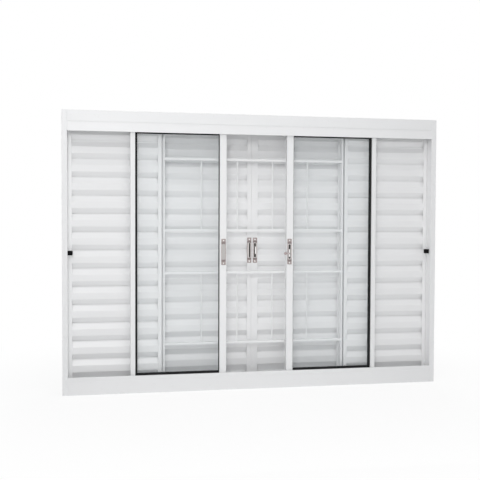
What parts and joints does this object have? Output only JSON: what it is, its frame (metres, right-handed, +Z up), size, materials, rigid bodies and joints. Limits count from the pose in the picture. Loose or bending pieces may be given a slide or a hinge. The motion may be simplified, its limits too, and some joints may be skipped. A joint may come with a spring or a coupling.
{
  "type": "louvred shutter window",
  "caption": "White aluminium window with fixed and sliding louvred leaves, sliding glass sashes and a security grille in a deep frame.",
  "frame": {"origin": "middle of the sill's flat underside", "axes": "+X to the right as seen from the room, +Z up, +Y from the room towards the outside"},
  "size_m": [1.5, 0.12, 1.08],
  "materials": {
    "white_frame": "satin white powder coat on extruded aluminium",
    "white_leaf": "satin white powder coat",
    "white_blades": "satin white powder coat on rolled louvre blades",
    "white_sash": "satin white powder coat",
    "white_grille": "satin white powder coat on a welded grille",
    "black_rubber": "matt black rubber",
    "latch_nickel": "satin nickel, slightly brownish",
    "clear_glass": "clear float glass with a faint blue-green tint"
  },
  "bodies": {
    "root": {"grille_bars": "white_grille", "grille_lower_rods": "white_grille", "grille_posts": "white_grille", "grille_upper_rods": "white_grille", "head_frame": "white_frame", "left_bumper": "black_rubber", "left_fixed_blades": "white_blades", "left_fixed_bottom_rail": "white_leaf", "left_fixed_inner_stile": "white_leaf", "left_fixed_outer_stile": "white_leaf", "left_fixed_top_rail": "white_leaf", "left_jamb": "white_frame", "left_louvre_latch": "latch_nickel", "left_sash_bottom_rail": "white_sash", "left_sash_gasket": "black_rubber", "left_sash_glass": "clear_glass", "left_sash_latch": "latch_nickel", "left_sash_meeting_stile": "white_sash", "left_sash_outer_stile": "white_sash", "left_sash_top_rail": "white_sash", "left_sliding_blades": "white_blades", "left_sliding_bottom_rail": "white_leaf", "left_sliding_meeting_stile": "white_leaf", "left_sliding_outer_stile": "white_leaf", "left_sliding_top_rail": "white_leaf", "right_bumper": "black_rubber", "right_fixed_blades": "white_blades", "right_fixed_bottom_rail": "white_leaf", "right_fixed_inner_stile": "white_leaf", "right_fixed_outer_stile": "white_leaf", "right_fixed_top_rail": "white_leaf", "right_jamb": "white_frame", "right_louvre_latch": "latch_nickel", "right_sash_bottom_rail": "white_sash", "right_sash_gasket": "black_rubber", "right_sash_glass": "clear_glass", "right_sash_latch": "latch_nickel", "right_sash_meeting_stile": "white_sash", "right_sash_outer_stile": "white_sash", "right_sash_top_rail": "white_sash", "right_sliding_blades": "white_blades", "right_sliding_bottom_rail": "white_leaf", "right_sliding_meeting_stile": "white_leaf", "right_sliding_outer_stile": "white_leaf", "right_sliding_top_rail": "white_leaf", "sill_frame": "white_frame"}
  },
  "joints": []
}
